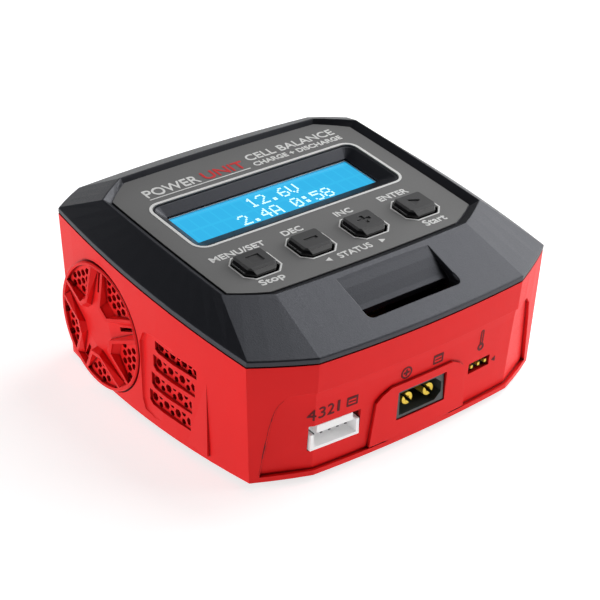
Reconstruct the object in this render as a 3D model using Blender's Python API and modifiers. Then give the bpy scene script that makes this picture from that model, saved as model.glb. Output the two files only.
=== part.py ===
"""A compact mains-powered balance charger for model battery packs.

Frame: +Z up, origin on the ground under the middle of the case, ports toward -Y, fan grille toward -X.
The red tub is drafted upright. The black cover, the display and the keys lie in a frame that is tilted
about X, so that the display faces the user. Helpers take millimetres and build in metres.
"""

import math

import bmesh
import bpy
from mathutils import Matrix, Vector

MM = 0.001

# Case
FOOT_H = 1.5
FLOOR_Z = 3.5
SEAM_Z = 40.2
TILT = math.radians(6.0)
HALF_W = 50.0
HALF_D = 48.0
BOW_SIDE = 2.45
BOW_FRONT = 1.5
CUT_FRONT = (15.8, 8.1)
CUT_REAR = (10.2, 6.0)
WALL = 2.0
GAP = 0.3
TOP_LINE = dict(half_w=HALF_W, front=HALF_D, rear=HALF_D, cut_f=CUT_FRONT, cut_r=CUT_REAR,
                bow_side=BOW_SIDE, bow_front=BOW_FRONT)
BASE_LINE = dict(half_w=48.3, front=45.8, rear=47.0, cut_f=(14.9, 6.8), cut_r=(10.2, 6.0),
                 bow_side=3.3, bow_front=1.5)

# Cover, in the tilted frame: w is the height above the seam
LIP_W = 1.9
RIDGE_W = 7.7
LABEL_W = 6.1
CEILING_W = 3.9
RIDGE_LINE = dict(half_w=43.4, front=27.5, rear=38.1, cut_f=(11.4, 6.7), cut_r=(10.2, 6.9),
                  bow_side=0.35, bow_front=0.7)
LABEL_LINE = dict(half_w=41.1, front=24.9, rear=37.4, cut_f=(9.8, 5.3), cut_r=(8.4, 6.8),
                  bow_side=0.3, bow_front=0.5)

# Display and keys, in the tilted frame
LCD_V = 13.1
WINDOW_AT = (0.15, 11.9)
WINDOW = (68.9, 23.0)
WINDOW_R = 3.0
LCD_VIEW = (60.6, 13.6)
KEY_X = (-27.3, -9.3, 8.7, 26.7)
KEY_V = -13.05
KEY_SIZE = (10.3, 9.8)
KEY_CHAMFER = 2.1
KEY_EDGE_W = 7.3
KEY_TOP_W = 8.6
KEY_TOP = (8.2, 6.8)
KEY_TOP_CHAMFER = 0.4
KEY_TRAVEL = 0.6
BOARD_W = -2.9
BOARD_T = 1.6

# Fan and side grille
FAN_Y = 20.0
FAN_Z = 20.8
FAN_SIZE = 35.0
FAN_DEPTH = 10.0
FAN_FACE_X = -47.6
BOSS_X = -52.4
BOSS_R = 18.0
GRILLE_R = 17.2
ARM_ANGLE = 92.0
ARMS = 5
CUP_TOP_X = -53.9
RING_X = -52.4
HUB_X = -52.3
ARM_END_X = -51.1
MESH_X = -51.5
MESH_BACK_X = -50.3
MESH_PITCH = 2.4
MESH_HOLE = 1.75
LOUVRE_PITCH = 2.5

# Ports on the front
PORT_Z0 = 3.3
PORT_Z1 = 26.8
BALANCE = (-27.1, 12.65)
OUTPUT = (0.3, 13.1)
SENSOR = (21.7, 14.0)
PCB_Z = 7.2
PCB_T = 1.6
INLET = (20.0, 18.5)

for old in list(bpy.data.objects):
    bpy.data.objects.remove(old, do_unlink=True)

parts = bpy.data.collections.new("balance_charger")
cutters = bpy.data.collections.new("cutters")
cutters.hide_render = True
bpy.context.scene.collection.children.link(parts)
bpy.context.scene.collection.children.link(cutters)


# Materials


def material(name, colour, roughness, metallic=0.0):
    """A Principled material with its viewport colour set to match."""
    made = bpy.data.materials.new(name)
    made.use_nodes = True
    shader = made.node_tree.nodes["Principled BSDF"]
    shader.inputs["Base Color"].default_value = (*colour, 1.0)
    shader.inputs["Roughness"].default_value = roughness
    shader.inputs["Metallic"].default_value = metallic
    made.diffuse_color = (*colour, 1.0)
    return made


RED = material("red_abs", (0.80, 0.03, 0.03), 0.45)
BLACK = material("black_abs", (0.035, 0.036, 0.04), 0.5)
OVERLAY = material("printed_overlay", (0.09, 0.09, 0.085), 0.55)
KEY = material("key_rubber", (0.03, 0.03, 0.033), 0.45)
SCREEN = material("blue_screen", (0.05, 0.45, 0.85), 0.25)
LIGHT_GUIDE = material("light_guide", (0.85, 0.9, 0.95), 0.5)
STEEL = material("steel", (0.55, 0.56, 0.58), 0.35, 1.0)
BOARD = material("circuit_board", (0.02, 0.16, 0.06), 0.5)
CHIP = material("black_epoxy", (0.02, 0.02, 0.02), 0.5)
NYLON = material("white_nylon", (0.85, 0.85, 0.82), 0.45)
GOLD = material("gold_plate", (0.83, 0.62, 0.22), 0.25, 1.0)
TIN = material("tin_plate", (0.62, 0.62, 0.6), 0.3, 1.0)
SOCKET = material("dark_nylon", (0.05, 0.06, 0.055), 0.5)
FERRITE = material("ferrite", (0.06, 0.055, 0.055), 0.65)
COPPER = material("taped_winding", (0.75, 0.55, 0.08), 0.5)
CAN = material("capacitor_sleeve", (0.03, 0.035, 0.09), 0.4)
GLASS = material("fuse_glass", (0.75, 0.78, 0.8), 0.1)
ALUMINIUM = material("aluminium", (0.7, 0.7, 0.72), 0.4, 1.0)
RUBBER = material("rubber", (0.03, 0.03, 0.03), 0.8)


# Object helpers


def add_object(name, bm, mat=None, parent=None, location=(0, 0, 0), rotation=(0, 0, 0), cutter=False):
    """Makes an object from a bmesh in millimetres, placed in millimetres under its parent."""
    bmesh.ops.scale(bm, vec=(MM, MM, MM), verts=bm.verts)
    bmesh.ops.recalc_face_normals(bm, faces=bm.faces)
    mesh = bpy.data.meshes.new(name)
    bm.to_mesh(mesh)
    bm.free()
    made = bpy.data.objects.new(name, mesh)
    made.location = Vector(location) * MM
    made.rotation_euler = rotation
    made.parent = parent
    if cutter:
        made.hide_render = True
        made.display_type = "WIRE"
        cutters.objects.link(made)
    else:
        mesh.materials.append(mat)
        mesh.shade_smooth()
        mesh.set_sharp_from_angle(angle=math.radians(25))
        parts.objects.link(made)
    return made


def empty(name, location, rotation=(0, 0, 0), parent=None):
    made = bpy.data.objects.new(name, None)
    made.empty_display_size = 5 * MM
    made.location = Vector(location) * MM
    made.rotation_euler = rotation
    made.parent = parent
    parts.objects.link(made)
    return made


def box(name, size, centre, mat=None, **place):
    """A box centred on its own origin, which is placed at centre."""
    bm = bmesh.new()
    bmesh.ops.create_cube(bm, size=1.0)
    bmesh.ops.scale(bm, vec=size, verts=bm.verts)
    return add_object(name, bm, mat, location=centre, **place)


def cylinder(name, radius, length, centre, axis="Z", mat=None, segments=24, radius2=None, **place):
    """A cylinder or cone along one axis, centred on its own origin."""
    bm = bmesh.new()
    top = radius if radius2 is None else radius2
    bmesh.ops.create_cone(bm, cap_ends=True, segments=segments, radius1=radius, radius2=top, depth=length)
    turn = {"X": Matrix.Rotation(math.pi / 2, 3, "Y"), "Y": Matrix.Rotation(-math.pi / 2, 3, "X")}
    if axis in turn:
        bmesh.ops.rotate(bm, matrix=turn[axis], verts=bm.verts)
    return add_object(name, bm, mat, location=centre, **place)


def prism_mesh(points, low, high, bm=None):
    """Extrudes a flat outline in XY from low to high."""
    bm = bm or bmesh.new()
    face = bm.faces.new([bm.verts.new((x, y, low)) for x, y in points])
    grown = bmesh.ops.extrude_face_region(bm, geom=[face])
    top = [item for item in grown["geom"] if isinstance(item, bmesh.types.BMVert)]
    bmesh.ops.translate(bm, vec=(0, 0, high - low), verts=top)
    return bm


def prism(name, points, low, high, mat=None, **place):
    return add_object(name, prism_mesh(points, low, high), mat, **place)


def loft_mesh(rings):
    """Joins equal rings of points in turn and closes both ends."""
    bm = bmesh.new()
    loops = [[bm.verts.new(point) for point in ring] for ring in rings]
    for low, high in zip(loops, loops[1:]):
        for i in range(len(low)):
            j = (i + 1) % len(low)
            bm.faces.new((low[i], low[j], high[j], high[i]))
    bm.faces.new(list(reversed(loops[0])))
    bm.faces.new(loops[-1])
    return bm


# Turns a prism so that its outline lies in YZ and its length along X
ONTO_X = Matrix(((0, 0, 1, 0), (1, 0, 0, 0), (0, 1, 0, 0), (0, 0, 0, 1)))


def boolean(target, other, operation="DIFFERENCE"):
    modifier = target.modifiers.new(other.name, "BOOLEAN")
    modifier.operation = operation
    modifier.solver = "EXACT"
    modifier.object = other


def bevel(target, width, segments=1, angle=30.0):
    modifier = target.modifiers.new("edge", "BEVEL")
    modifier.width = width * MM
    modifier.segments = segments
    modifier.limit_method = "ANGLE"
    modifier.angle_limit = math.radians(angle)


# Outlines


def chamfered(size_x, size_y, cut):
    """A rectangle with its corners cut, counter-clockwise."""
    x = size_x / 2
    y = size_y / 2
    return [(-x + cut, -y), (x - cut, -y), (x, -y + cut), (x, y - cut),
            (x - cut, y), (-x + cut, y), (-x, y - cut), (-x, -y + cut)]


def rounded(size_x, size_y, radius, steps=4):
    """A rectangle with round corners, counter-clockwise."""
    found = []
    for quarter in range(4):
        sx = (1, -1, -1, 1)[quarter]
        sy = (1, 1, -1, -1)[quarter]
        for step in range(steps + 1):
            angle = math.pi / 2 * (quarter + step / steps)
            found.append((sx * (size_x / 2 - radius) + radius * math.cos(angle),
                          sy * (size_y / 2 - radius) + radius * math.sin(angle)))
    return found


def bowed_edge(start, end, bow, steps):
    """Points from start up to, but not at, end, bulging to the right of the way by bow."""
    start = Vector(start)
    end = Vector(end)
    way = (end - start).normalized()
    out = Vector((way.y, -way.x))
    return [start.lerp(end, i / steps) + out * (bow * 4 * (i / steps) * (1 - i / steps)) for i in range(steps)]


SIDE_STEPS = 12
CORNER_STEPS = 3


def case_line(half_w, front, rear, cut_f, cut_r, bow_side, bow_front, inset=0.0):
    """The case's eight-sided plan with bowed sides, counter-clockwise from the front left."""
    corners = [(-half_w + cut_f[0], -front), (half_w - cut_f[0], -front), (half_w, -front + cut_f[1]),
               (half_w, rear - cut_r[1]), (half_w - cut_r[0], rear), (-half_w + cut_r[0], rear),
               (-half_w, rear - cut_r[1]), (-half_w, -front + cut_f[1])]
    bows = (bow_front, 0.25, bow_side, 0.25, bow_front, 0.25, bow_side, 0.25)
    steps = (SIDE_STEPS, CORNER_STEPS) * 4
    found = []
    for i in range(8):
        found += bowed_edge(corners[i], corners[(i + 1) % 8], bows[i], steps[i])
    if not inset:
        return found
    moved = []
    for i, point in enumerate(found):
        before = (point - found[i - 1]).normalized()
        after = (found[(i + 1) % len(found)] - point).normalized()
        normal_a = Vector((before.y, -before.x))
        normal_b = Vector((after.y, -after.x))
        middle = (normal_a + normal_b).normalized()
        moved.append(point - middle * (inset / middle.dot(normal_a)))
    return moved


def seam_z(y):
    return SEAM_Z + math.tan(TILT) * y


def tub_ring(share, inset, flat_z=None):
    """A ring of the tub: share 0 is the base line and 1 the seam."""
    low = case_line(**BASE_LINE, inset=inset)
    high = case_line(**TOP_LINE, inset=inset)
    ring = []
    for a, b in zip(low, high):
        point = a.lerp(b, share)
        z = FOOT_H + share * (seam_z(point.y) - FOOT_H) if flat_z is None else flat_z
        ring.append((point.x, point.y, z))
    return ring


def cover_ring(line, w, inset=0.0):
    """A ring of the cover in the tilted frame."""
    return [(point.x, point.y / math.cos(TILT), w) for point in case_line(**line, inset=inset)]


panel = empty("panel_frame", (0, 0, SEAM_Z), (TILT, 0, 0))


# Lower case: a drafted tub with the fan boss, the louvres and the port field

tub = add_object("lower_case", loft_mesh([
    tub_ring(0.0, 0.35, FOOT_H),
    tub_ring(0.009, 0.0),
    tub_ring(0.5, 0.0),
    tub_ring(1.0, 0.0),
    tub_ring(1.0, WALL),
    tub_ring(0.5, WALL),
    tub_ring(0.05, WALL, FLOOR_Z),
]), RED)

boss = cylinder("fan_boss", BOSS_R, 5.6, (BOSS_X + 2.8, FAN_Y + 0.7, FAN_Z - 0.5), "X", segments=64, cutter=True)
bevel(boss, 0.35)
boolean(tub, boss, "UNION")
louvre_pad = box("louvre_pad", (2.2, 25.0, 26.0), (-49.9, -12.8, 16.4), cutter=True)
boolean(tub, louvre_pad, "UNION")
port_pad = box("port_pad", (66.0, 2.4, 20.0), (0, -43.9, 13.2), cutter=True)
boolean(tub, port_pad, "UNION")


def to_grille(radius, angle):
    """Polar point on the fan face; angle 0 points to the front and 90 up."""
    turn = math.radians(angle)
    return (FAN_Y - radius * math.cos(turn), FAN_Z + radius * math.sin(turn))


def yz_prism(name, points, x_low, x_high):
    """A cutter whose outline lies in YZ, from x_low to x_high."""
    bm = prism_mesh([(y, z) for y, z in points], x_low, x_high)
    bmesh.ops.transform(bm, matrix=ONTO_X, verts=bm.verts)
    return add_object(name, bm, cutter=True)


def star_point(radius, angle, x):
    """A point of the star, whose middle sits a little behind and below the ring's."""
    share = 1 - radius / GRILLE_R
    turn = math.radians(angle)
    y = FAN_Y + 0.3 + 1.1 * share - radius * math.cos(turn)
    z = FAN_Z - 0.2 - 0.8 * share + radius * math.sin(turn)
    return (x, y, z)


def circle_points(radius, x, count=40):
    return [star_point(radius, 360 * k / count, x) for k in range(count)]


dome = add_object("grille_dome", loft_mesh([
    circle_points(7.0, CUP_TOP_X),
    circle_points(17.0, RING_X - 0.05),
    circle_points(17.0, BOSS_X + 2.0),
]), cutter=True)
boolean(tub, dome, "UNION")
groove = cylinder("boss_groove", BOSS_R + 0.45, 3.0, (BOSS_X - 0.1, FAN_Y + 0.7, FAN_Z - 0.5), "X",
                  segments=64, cutter=True)
groove_core = cylinder("boss_groove_core", BOSS_R, 5.0, (BOSS_X, FAN_Y + 0.7, FAN_Z - 0.5), "X", segments=64,
                       cutter=True)
boolean(groove, groove_core)
boolean(tub, groove)

# The star between the cups: a level hub, and arms that fall toward the ring
CUP_ANGLES = [ARM_ANGLE - 36 + 72 * k for k in range(ARMS)]
low = []
high = []
for angle in CUP_ANGLES:
    low += [star_point(6.2, angle - 11, HUB_X), star_point(6.2, angle + 11, HUB_X),
            star_point(16.3, angle + 33, ARM_END_X), star_point(16.3, angle + 39, ARM_END_X)]
    high += [star_point(7.4, angle - 15, CUP_TOP_X), star_point(7.4, angle + 15, CUP_TOP_X),
             star_point(16.9, angle + 28.5, RING_X), star_point(16.9, angle + 43.5, RING_X)]
cap = [(-55.5, point[1], point[2]) for point in high]
star = bmesh.new()
loops = [[star.verts.new(point) for point in ring] for ring in (low, high, cap)]
for below, above in zip(loops, loops[1:]):
    for i in range(len(below)):
        j = (i + 1) % len(below)
        star.faces.new((below[i], below[j], above[j], above[i]))
star.faces.new(loops[2])
star.faces.new([loops[0][i] for i in range(len(low)) if i % 4 < 2])
for arm in range(ARMS):
    ends = [4 * arm + 1, 4 * arm + 2, 4 * arm + 3, (4 * arm + 4) % len(low)]
    star.faces.new([loops[0][i] for i in ends])
bmesh.ops.recalc_face_normals(star, faces=star.faces)
bmesh.ops.triangulate(star, faces=star.faces)
boolean(tub, add_object("grille_star", star, cutter=True))

# Five cups between the arms, their inner ends sloped down to the mesh
for number, angle in enumerate(CUP_ANGLES):
    rings = []
    for x, inner, spread in ((MESH_X, 9.6, 13.0), (-53.3, 8.5, 12.2), (-55.5, 8.5, 12.2)):
        outer = [star_point(17.0, angle + 25.4 - 50.8 * step / 9, x) for step in range(10)]
        rings.append([star_point(inner, angle - spread, x), star_point(inner, angle + spread, x)] + outer)
    cup = loft_mesh(rings)
    bmesh.ops.triangulate(cup, faces=cup.faces)
    boolean(tub, add_object(f"grille_cup_{number}", cup, cutter=True))
for arm in range(ARMS):
    turn = math.radians(ARM_ANGLE + 72 * arm)
    place = star_point(12.8, ARM_ANGLE + 72 * arm, -50.0)
    boolean(tub, box(f"arm_slot_{arm}", (5.0, 5.6, 1.1), place, cutter=True, rotation=(math.pi - turn, 0, 0)))
fan_seat = box("fan_seat", (11.0, FAN_SIZE + 0.8, 50.0), (FAN_FACE_X - GAP + 5.5, FAN_Y, 28.0), cutter=True)
boolean(tub, fan_seat)
mesh_back = cylinder("mesh_back", 17.2, 4.0, (MESH_BACK_X + 2.0, FAN_Y + 0.7, FAN_Z - 0.5), "X", segments=48,
                     cutter=True)
boolean(tub, mesh_back)


# Louvres: a shallow ramped field with four level slots, each given as height, half height and ends

LOUVRE_ROWS = ((25.9, 1.5, -4.0, -21.6), (20.85, 2.15, -3.0, -20.6), (15.2, 2.15, -2.0, -19.2),
               (9.7, 2.1, -0.9, -18.4))
field = yz_prism("louvre_field", [(1.9, 7.5), (1.9, 25.0), (0.2, 28.4), (-4.0, 29.2), (-30.0, 28.6),
                                  (-30.0, 5.2), (-16.0, 3.6), (-3.0, 3.8), (0.8, 4.6)], -60, 0)
floor_outline = [(-50.9, 6.0), (-53.0, -34.0), (-40.0, -34.0), (-40.0, 6.0)]
field_floor = prism("louvre_floor", floor_outline, 0, 40, cutter=True)
boolean(field, field_floor)
bevel(field, 0.8, 3)
boolean(tub, field)
LOUVRE_X = -50.6
for number, (row_z, half, row_start, row_end) in enumerate(LOUVRE_ROWS):
    slot = [(row_start, row_z + half), (row_start, row_z - half * 0.6), (row_start - 1.4, row_z - half),
            (row_end, row_z - half), (row_end, row_z + half * 0.6), (row_end + 1.4, row_z + half)]
    boolean(tub, yz_prism(f"louvre_slot_{number}", slot, -60, LOUVRE_X))


def hexagon(y, z, across):
    radius = across / math.sqrt(3)
    return [(y + radius * math.cos(math.radians(60 * k)), z + radius * math.sin(math.radians(60 * k)))
            for k in range(6)]


def in_cup(y, z):
    """Whether a mesh hole at this point lies inside a cup's floor."""
    dy = FAN_Y + 0.7 - y
    dz = z - FAN_Z + 0.5
    distance = math.hypot(dy, dz)
    from_arm = abs((math.degrees(math.atan2(dz, dy)) - ARM_ANGLE + 36) % 72 - 36)
    along = distance * math.cos(math.radians(36 - from_arm))
    return along > 9.9 and distance < GRILLE_R - 0.75 and distance * math.sin(math.radians(from_arm)) > 3.9


def cut_holes(name, centres, start, end):
    """Hexagonal holes along X through a thin floor, at (y, z, across)."""
    holes = bmesh.new()
    for y, z, across in centres:
        prism_mesh(hexagon(y, z, across), start, end, holes)
    bmesh.ops.transform(holes, matrix=ONTO_X, verts=holes.verts)
    boolean(tub, add_object(name, holes, cutter=True))


row_pitch = MESH_PITCH * math.sqrt(3) / 2
cup_holes = []
for row in range(-9, 10):
    for column in range(-9, 10):
        hole_z = FAN_Z + 0.17 + (column + 0.5 * (row % 2)) * MESH_PITCH
        hole_y = FAN_Y + 0.31 + row * row_pitch
        if in_cup(hole_y, hole_z):
            cup_holes.append((hole_y, hole_z, MESH_HOLE))
cut_holes("cup_holes", cup_holes, MESH_X - 0.7, MESH_BACK_X + 0.7)
for number, (row_z, half, row_start, row_end) in enumerate(LOUVRE_ROWS):
    row_holes = []
    for k in range(int((row_start - row_end - 2.2) / LOUVRE_PITCH) + 1):
        hole_y = row_start - 1.5 - k * LOUVRE_PITCH
        if k % 2:
            row_holes += [(hole_y, row_z - 1.25, 1.55), (hole_y, row_z + half - 0.9, 1.55)]
        else:
            row_holes.append((hole_y, row_z, 2.2))
    cut_holes(f"louvre_holes_{number}", row_holes, LOUVRE_X - 0.4, -46.4)


# Port field: a recess that wraps both front corners and deepens toward the base


def front_depth(x, z):
    """The y of the tub's front face at x and height z."""
    share = (z - FOOT_H) / (seam_z(-HALF_D) - FOOT_H)
    half = HALF_W - CUT_FRONT[0]
    bow = BOW_FRONT * max(0.0, 1 - (x / half) ** 2)
    return -(BASE_LINE["front"] + (TOP_LINE["front"] - BASE_LINE["front"]) * share + bow)


def field_ring(z, depth, reach):
    """Part of the case line from the left front corner face to the right one, as a closed strip."""
    share = (z - FOOT_H) / (seam_z(-HALF_D) - FOOT_H)
    line_low = case_line(**BASE_LINE, inset=depth)
    line_high = case_line(**TOP_LINE, inset=depth)
    inner = [a.lerp(b, share) for a, b in zip(line_low, line_high)]
    front = inner[: SIDE_STEPS + 1]
    left_far = inner[-CORNER_STEPS]
    right_far = inner[SIDE_STEPS + CORNER_STEPS]
    left_end = front[0].lerp(left_far, reach)
    right_end = front[-1].lerp(right_far, reach)
    strip = [left_end] + front + [right_end]
    outer = [Vector((right_end.x + 4.0, right_end.y - 8.0)), Vector((left_end.x - 4.0, left_end.y - 8.0))]
    return [(p.x, p.y, z) for p in strip + outer]


port_field = add_object("port_field", loft_mesh([
    field_ring(PORT_Z0, 1.0, 0.87),
    field_ring(18.0, 0.85, 0.69),
    field_ring(24.0, 0.7, 0.58),
    field_ring(PORT_Z1, 0.5, 0.40),
]), cutter=True)
boss_half = [(16.3, PORT_Z0 + 0.3), (15.1, 16.6), (13.4, 18.2), (10.4, 19.7)]
boss_outline = boss_half + [(-x, z) for x, z in reversed(boss_half)]
port_boss = add_object("port_boss", prism_mesh(boss_outline, 30, 60), cutter=True, rotation=(math.pi / 2, 0, 0))
boolean(port_field, port_boss)
boolean(tub, port_field)


def yaw_at(x):
    """The turn about Z that follows the bowed front at x."""
    half = HALF_W - CUT_FRONT[0]
    return math.atan(2 * BOW_FRONT * x / half ** 2)


def port_frame(name, x, z, depth):
    """An empty on the front face at x and z, its -Y pointing out of the port."""
    return empty(name, (x, front_depth(x, z) + depth, z), (0, 0, yaw_at(x)))


balance = port_frame("balance_port", *BALANCE, 0.9)
output = port_frame("output_port", *OUTPUT, 0.6)
sensor = port_frame("sensor_port", *SENSOR, 1.2)
for name, frame, size, corner in (("balance_opening", balance, (15.5, 7.5), 0.2),
                                  ("output_opening", output, (16.6, 8.7), 0.3),
                                  ("sensor_opening", sensor, (8.0, 3.2), 0.2)):
    bm = prism_mesh(rounded(*size, corner, 1), -8.0, 8.0)
    boolean(tub, add_object(name, bm, cutter=True, parent=frame, rotation=(math.pi / 2, 0, 0)))

inlet_frame = empty("inlet_port", (INLET[0], 48.6, INLET[1]))
inlet_hole = prism("inlet_opening", rounded(24.6, 14.6, 1.2, 2), -12, 12, cutter=True, parent=inlet_frame,
                   rotation=(math.pi / 2, 0, 0))
boolean(tub, inlet_hole)


# Screw holes and feet in the base

POSTS = ((-41.0, -34.0), (41.0, -34.0), (-40.0, 40.6), (40.0, 40.6))
FEET = ((-33.0, -26.0), (33.0, -26.0), (-32.0, 32.0), (32.0, 32.0))
for number, (x, y) in enumerate(POSTS):
    boolean(tub, cylinder(f"screw_hole_{number}", 1.9, 8.0, (x, y, 3.0), cutter=True, segments=16))
    boolean(tub, cylinder(f"screw_recess_{number}", 3.3, 2.0, (x, y, FOOT_H + 0.2), cutter=True, segments=20))
for number, (x, y) in enumerate(FEET):
    boolean(tub, cylinder(f"foot_recess_{number}", 4.3, 1.0, (x, y, FOOT_H), cutter=True, segments=24))
    cylinder(f"foot_{('front_left', 'front_right', 'rear_left', 'rear_right')[number]}", 4.0, FOOT_H + 0.2,
             (x, y, (FOOT_H + 0.2) / 2), mat=RUBBER, segments=24)
for number, (x, y) in enumerate(((-14.0, 40.0), (-2.0, 30.0), (-20.0, -38.0), (20.0, -36.0))):
    stand_top = PCB_Z - GAP
    stand = cylinder(f"board_stand_{number}", 2.2, stand_top - 2.8, (x, y, (stand_top + 2.8) / 2), cutter=True,
                     segments=12)
    boolean(tub, stand, "UNION")


# Cover: lip, slopes, ridge, recessed label field, screw posts and the finger scoop

cover = add_object("top_cover", loft_mesh([
    cover_ring(TOP_LINE, 0.3, 0.12),
    cover_ring(TOP_LINE, 0.5),
    cover_ring(TOP_LINE, LIP_W - 0.25),
    cover_ring(TOP_LINE, LIP_W, 0.3),
    cover_ring(RIDGE_LINE, RIDGE_W - 0.12, -0.3),
    cover_ring(RIDGE_LINE, RIDGE_W, 0.15),
    cover_ring(LABEL_LINE, LABEL_W + 0.1, -0.1),
    cover_ring(LABEL_LINE, LABEL_W, 0.1),
]), BLACK, parent=panel)
hollow = add_object("cover_hollow", loft_mesh([
    cover_ring(TOP_LINE, -6.0, 3.4),
    cover_ring(TOP_LINE, 1.2, 3.4),
    cover_ring(RIDGE_LINE, CEILING_W, 2.6),
]), cutter=True, parent=panel)
skirt = add_object("cover_skirt", loft_mesh([
    cover_ring(TOP_LINE, -1.6, 2.4),
    cover_ring(TOP_LINE, 1.0, 2.4),
]), cutter=True, parent=panel)
boolean(cover, skirt, "UNION")
boolean(cover, hollow)

SCOOP_X = 0.9
SCOOP_HALF = 15.4
scoop_slope = math.atan2(RIDGE_W - LIP_W, 20.8)
scoop_frame = empty("scoop_frame", (0, -HALF_D - BOW_FRONT + 1.2, LIP_W), (scoop_slope, 0, 0), panel)
scoop_pad = box("scoop_pad", (36.0, 15.0, 3.6), (0, 10.8, -2.8), cutter=True, parent=scoop_frame)
boolean(cover, scoop_pad, "UNION")
ramp_profile = [(6.0, 4.0), (6.0, -1.0), (8.6, -2.5), (11.0, -2.0), (13.5, -1.2), (16.0, -0.5), (18.4, -0.05),
                (20.4, 0.4), (20.4, 4.0)]
ramp_mesh = prism_mesh(ramp_profile, SCOOP_X - SCOOP_HALF, SCOOP_X + SCOOP_HALF)
bmesh.ops.transform(ramp_mesh, matrix=ONTO_X, verts=ramp_mesh.verts)
boolean(cover, add_object("scoop_ramp", ramp_mesh, cutter=True, parent=scoop_frame))
slot_rings = []
for h, wider in ((-7.0, 0.0), (-0.7, 0.0), (0.0, 0.5), (3.0, 0.5)):
    outline = rounded(2 * SCOOP_HALF - 0.1 + wider, 4.5 + wider, 1.7)
    slot_rings.append([(x + SCOOP_X, y + 7.35, h) for x, y in outline])
scoop_slot = add_object("scoop_slot", loft_mesh(slot_rings), cutter=True, parent=scoop_frame)
boolean(cover, scoop_slot)

window_rings = []
for w, size, radius, at in ((CEILING_W - 1.0, (LCD_VIEW[0] + 0.8, LCD_VIEW[1] + 0.8), 0.3, (0, LCD_V)),
                            (CEILING_W + 0.1, (LCD_VIEW[0] + 0.8, LCD_VIEW[1] + 0.8), 0.3, (0, LCD_V)),
                            (LABEL_W + 0.35, WINDOW, WINDOW_R, WINDOW_AT),
                            (LABEL_W + 2.0, WINDOW, WINDOW_R, WINDOW_AT)):
    window_rings.append([(x + at[0], y + at[1], w) for x, y in rounded(*size, radius)])
boolean(cover, add_object("window_opening", loft_mesh(window_rings), cutter=True, parent=panel))
for number, x in enumerate(KEY_X):
    outline = [(px + x, py + KEY_V) for px, py in chamfered(KEY_SIZE[0] + 0.7, KEY_SIZE[1] + 0.7, KEY_CHAMFER)]
    boolean(cover, prism(f"key_well_{number}", outline, 2.0, 9.0, cutter=True, parent=panel))

for number, (x, y) in enumerate(POSTS):
    top = seam_z(y) + 3.4
    post = cylinder(f"post_{number}", 2.7, top - 4.2, (x, y, (top + 4.2) / 2), cutter=True, segments=16)
    boolean(cover, post, "UNION")
    boolean(cover, cylinder(f"pilot_{number}", 1.15, 12.0, (x, y, 9.0), cutter=True, segments=12))
BOARD_POSTS = ((-35.6, -17.5), (35.6, -17.5), (-35.6, 27.6), (35.6, 27.6))
BOARD_TOP_W = BOARD_W + BOARD_T
for number, (x, v) in enumerate(BOARD_POSTS):
    low = BOARD_TOP_W + GAP
    post = cylinder(f"board_post_{number}", 1.8, 5.2 - low, (x, v, (5.2 + low) / 2), cutter=True, segments=12,
                    parent=panel)
    boolean(cover, post, "UNION")
for number in (0, 3):
    x, v = BOARD_POSTS[number]
    pilot = cylinder(f"board_pilot_{number}", 0.9, 4.4, (x, v, 0.6), cutter=True, segments=12, parent=panel)
    boolean(cover, pilot)


# Printed overlay on the label field

overlay = add_object("label_overlay", loft_mesh([
    cover_ring(LABEL_LINE, LABEL_W + 0.1, 0.35),
    cover_ring(LABEL_LINE, LABEL_W + 0.4, 0.35),
]), OVERLAY, parent=panel)
overlay_window = rounded(WINDOW[0] + 0.1, WINDOW[1] + 0.1, WINDOW_R)
overlay_window = [(x + WINDOW_AT[0], y + WINDOW_AT[1]) for x, y in overlay_window]
boolean(overlay, prism("overlay_window", overlay_window, 5.0, 9.0, cutter=True, parent=panel))
for number, x in enumerate(KEY_X):
    outline = [(px + x, py + KEY_V) for px, py in chamfered(KEY_SIZE[0] + 0.9, KEY_SIZE[1] + 0.9, KEY_CHAMFER)]
    boolean(overlay, prism(f"overlay_key_{number}", outline, 5.0, 9.0, cutter=True, parent=panel))


# Display module and its board

lcd_bezel = box("lcd_bezel", (71.0, 25.0, 4.6), (0, LCD_V, 1.3), STEEL, parent=panel)
boolean(lcd_bezel, box("bezel_hollow", (70.0, 24.0, 6.0), (0, LCD_V, 0.2), cutter=True, parent=panel))
boolean(lcd_bezel, box("bezel_window", (*LCD_VIEW, 6.0), (0, LCD_V, 3.0), cutter=True, parent=panel))
box("lcd_glass", (69.0, 23.0, 1.8), (0, LCD_V, 2.15), SCREEN, parent=panel)
box("lcd_backlight", (69.0, 23.0, 1.9), (0, LCD_V, 0.15), LIGHT_GUIDE, parent=panel)
board_v = (-21.0, 31.0)
display_board = box("display_board", (75.2, board_v[1] - board_v[0], BOARD_T),
                    (0, (board_v[0] + board_v[1]) / 2, BOARD_W + BOARD_T / 2), BOARD, parent=panel)
for number, (x, v) in enumerate(BOARD_POSTS):
    if number in (0, 3):
        hole = cylinder(f"board_hole_{number}", 1.3, 5.0, (x, v, BOARD_W), cutter=True, segments=12, parent=panel)
        boolean(display_board, hole)


def screw(name, head_r, head_h, shank_r, length, location, mat, parent=None, cross=True):
    """A pan-head screw with its head down, its origin under the head."""
    made = cylinder(name, head_r, head_h, location, mat=mat, segments=16, parent=parent)
    shank = cylinder(f"{name}_shank", shank_r, length, (location[0], location[1], location[2] + length / 2),
                     cutter=True, segments=10, parent=parent)
    boolean(made, shank, "UNION")
    if cross:
        for turn in (0, 1):
            size = (head_r * 1.1, 0.7, 0.9) if turn == 0 else (0.7, head_r * 1.1, 0.9)
            slot = box(f"{name}_slot_{turn}", size, (location[0], location[1], location[2] - head_h / 2),
                       cutter=True, parent=parent)
            boolean(made, slot)
    return made


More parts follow.
